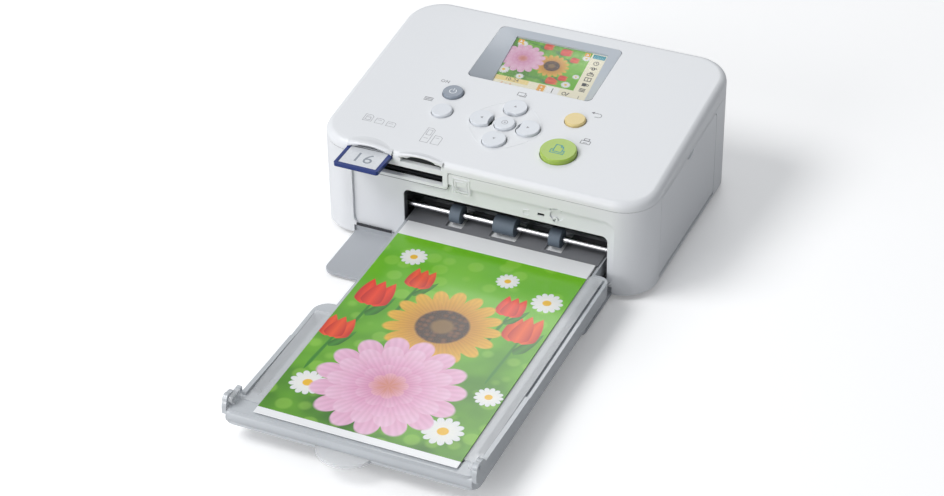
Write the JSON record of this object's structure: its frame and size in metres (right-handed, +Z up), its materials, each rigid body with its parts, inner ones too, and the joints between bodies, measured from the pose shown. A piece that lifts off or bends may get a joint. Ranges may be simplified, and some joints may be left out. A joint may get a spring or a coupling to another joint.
{
  "type": "compact photo printer",
  "caption": "Compact photo printer with tilted screen, button pad, card slots, paper cassette with its lid and print, ink door and a full paper feed inside.",
  "frame": {"origin": "middle of the footprint of the whole part, on the ground under the feet", "axes": "+Z up, +X to the right of someone who faces the printer, the printer's front and its cassette face -Y"},
  "size_m": [0.176, 0.3048, 0.0673],
  "materials": {
    "shell_white": "fine moulded texture",
    "base_grey": "fine moulded texture",
    "bezel_grey": "satin",
    "screen": "lit display",
    "clear_window": "polished",
    "circuit_green": "solder mask",
    "dark_plastic": "moulded",
    "steel": "plated",
    "roller_rubber": "ground rubber",
    "foot_rubber": "moulded rubber",
    "gear_plastic": "moulded",
    "brass": "turned",
    "aluminium": "extruded",
    "cartridge_grey": "moulded",
    "clear_grey": "polished translucent",
    "paper": "smooth",
    "photo_print": "glossy print",
    "card_blue": "satin",
    "button_white": "satin",
    "button_slate": "satin",
    "button_gold": "satin",
    "button_green": "satin"
  },
  "bodies": {
    "printer": {"base_case": "base_grey", "housing": "shell_white", "top_cover": "shell_white", "screen_bezel": "bezel_grey", "screen_panel": "screen", "screen_window": "clear_window", "control_board": "circuit_green", "switches": "dark_plastic", "main_board": "circuit_green", "usb_ports": "steel", "dc_jack": "dark_plastic", "card_reader": "dark_plastic", "feet": "foot_rubber", "case_screws": "steel", "left_plate": "steel", "right_plate": "steel", "cross_stays": "steel", "feed_motor": "steel", "gear_posts": "steel", "mouth_frame": "dark_plastic"},
    "pickup": {"pickup_shaft": "steel", "pickup_rollers": "roller_rubber", "pickup_gear": "gear_plastic"},
    "platen": {"platen_roller": "foot_rubber", "platen_gear": "gear_plastic"},
    "capstan": {"capstan_roller": "steel", "capstan_gear": "gear_plastic"},
    "pinch": {"pinch_roller": "steel"},
    "head": {"thermal_head": "brass", "head_heatsink": "aluminium"},
    "rotor": {"motor_pinion": "brass"},
    "drive": {"drive_gear": "gear_plastic"},
    "idler_front": {"idler_gear_front": "gear_plastic"},
    "idler_rear": {"idler_gear_rear": "gear_plastic"},
    "cartridge": {"cartridge_shell": "cartridge_grey"},
    "supply": {"supply_spool": "dark_plastic"},
    "takeup": {"takeup_spool": "dark_plastic"},
    "ink_door": {"ink_door": "shell_white"},
    "front_door": {"front_door": "base_grey"},
    "card": {"memory_card": "card_blue"},
    "cassette": {"cassette_body": "clear_grey", "lift_plate": "steel", "paper_stack": "paper"},
    "lid": {"cassette_lid": "clear_grey"},
    "print": {"print_sheet": "photo_print"},
    "power_key": {"power_button": "button_slate"},
    "menu_key": {"menu_button": "button_white"},
    "back_key": {"back_button": "button_gold"},
    "print_key": {"print_button": "button_green"},
    "ok_key": {"ok_button": "button_white"},
    "up_key": {"up_button": "button_white"},
    "down_key": {"down_button": "button_white"},
    "left_key": {"left_button": "button_white"},
    "right_key": {"right_button": "button_white"}
  },
  "joints": [
    {"name": "drive_spin", "type": "hinge", "parent": "printer", "child": "drive", "pos_m": [-0.0523, 0.10453, 0.03297], "axis": [1, 0, 0], "continuous": true},
    {"name": "rotor_spin", "type": "hinge", "parent": "printer", "child": "rotor", "pos_m": [-0.0467, 0.12276, 0.04148], "axis": [1, 0, 0], "continuous": true},
    {"name": "idler_rear_spin", "type": "hinge", "parent": "printer", "child": "idler_rear", "pos_m": [-0.0467, 0.07491, 0.03848], "axis": [1, 0, 0], "continuous": true},
    {"name": "idler_front_spin", "type": "hinge", "parent": "printer", "child": "idler_front", "pos_m": [-0.0467, 0.04985, 0.02575], "axis": [1, 0, 0], "continuous": true},
    {"name": "pickup_spin", "type": "hinge", "parent": "printer", "child": "pickup", "pos_m": [0.0137, 0.032, 0.0226], "axis": [1, 0, 0], "continuous": true},
    {"name": "platen_spin", "type": "hinge", "parent": "printer", "child": "platen", "pos_m": [0.0137, 0.088, 0.0215], "axis": [1, 0, 0], "continuous": true},
    {"name": "capstan_spin", "type": "hinge", "parent": "printer", "child": "capstan", "pos_m": [0.0137, 0.122, 0.023], "axis": [1, 0, 0], "continuous": true},
    {"name": "pinch_spin", "type": "hinge", "parent": "printer", "child": "pinch", "pos_m": [0.0137, 0.122, 0.0299], "axis": [1, 0, 0], "continuous": true},
    {"name": "head_lift", "type": "hinge", "parent": "printer", "child": "head", "pos_m": [0.0137, 0.122, 0.049], "axis": [-1, 0, 0], "range_deg": [0, 2]},
    {"name": "cartridge_eject", "type": "slide", "parent": "printer", "child": "cartridge", "axis": [1, 0, 0], "range_m": [0, 0.004]},
    {"name": "supply_spin", "type": "hinge", "parent": "cartridge", "child": "supply", "pos_m": [0.0137, 0.0723, 0.0376], "axis": [1, 0, 0], "continuous": true},
    {"name": "takeup_spin", "type": "hinge", "parent": "cartridge", "child": "takeup", "pos_m": [0.0137, 0.1057, 0.0376], "axis": [1, 0, 0], "continuous": true},
    {"name": "ink_door_hinge", "type": "hinge", "parent": "printer", "child": "ink_door", "pos_m": [0.0856, 0.084, 0.0069], "axis": [0, 1, 0], "range_deg": [0, 88]},
    {"name": "front_door_hinge", "type": "hinge", "parent": "printer", "child": "front_door", "pos_m": [0.0017, 0.0266, 0.005], "axis": [-1, 0, 0], "range_deg": [0, 5]},
    {"name": "card_slide", "type": "slide", "parent": "printer", "child": "card", "axis": [0, -1, 0], "range_m": [0, 0.014]},
    {"name": "cassette_slide", "type": "slide", "parent": "printer", "child": "cassette", "axis": [0, -1, 0], "range_m": [0, 0.08]},
    {"name": "lid_hinge", "type": "hinge", "parent": "cassette", "child": "lid", "pos_m": [0.0129, -0.1399, 0.021], "axis": [1, 0, 0], "range_deg": [0, 70]},
    {"name": "print_lift", "type": "slide", "parent": "lid", "child": "print", "axis": [0, 0, 1], "range_m": [0, 0.05]},
    {"name": "power_press", "type": "slide", "parent": "printer", "child": "power_key", "axis": [0, 0.0897, -0.996], "range_m": [0, 0.0006], "stiffness_N_per_m": 400},
    {"name": "menu_press", "type": "slide", "parent": "printer", "child": "menu_key", "axis": [0, 0.0897, -0.996], "range_m": [0, 0.0006], "stiffness_N_per_m": 400},
    {"name": "back_press", "type": "slide", "parent": "printer", "child": "back_key", "axis": [0, 0.0897, -0.996], "range_m": [0, 0.0006], "stiffness_N_per_m": 400},
    {"name": "print_press", "type": "slide", "parent": "printer", "child": "print_key", "axis": [0, 0.0897, -0.996], "range_m": [0, 0.0006], "stiffness_N_per_m": 400},
    {"name": "ok_press", "type": "slide", "parent": "printer", "child": "ok_key", "axis": [0, 0.0897, -0.996], "range_m": [0, 0.0006], "stiffness_N_per_m": 400},
    {"name": "up_press", "type": "slide", "parent": "printer", "child": "up_key", "axis": [0, 0.0897, -0.996], "range_m": [0, 0.0006], "stiffness_N_per_m": 400},
    {"name": "down_press", "type": "slide", "parent": "printer", "child": "down_key", "axis": [0, 0.0897, -0.996], "range_m": [0, 0.0006], "stiffness_N_per_m": 400},
    {"name": "left_press", "type": "slide", "parent": "printer", "child": "left_key", "axis": [0, 0.0897, -0.996], "range_m": [0, 0.0006], "stiffness_N_per_m": 400},
    {"name": "right_press", "type": "slide", "parent": "printer", "child": "right_key", "axis": [0, 0.0897, -0.996], "range_m": [0, 0.0006], "stiffness_N_per_m": 400}
  ],
  "couplings": [
    {"joint": "rotor_spin", "follows": "drive_spin", "ratio": -3},
    {"joint": "idler_rear_spin", "follows": "drive_spin", "ratio": -1},
    {"joint": "idler_front_spin", "follows": "drive_spin", "ratio": 1.1538},
    {"joint": "pickup_spin", "follows": "drive_spin", "ratio": -3},
    {"joint": "platen_spin", "follows": "drive_spin", "ratio": -3},
    {"joint": "capstan_spin", "follows": "drive_spin", "ratio": -3},
    {"joint": "supply_spin", "follows": "takeup_spin", "ratio": 1}
  ]
}
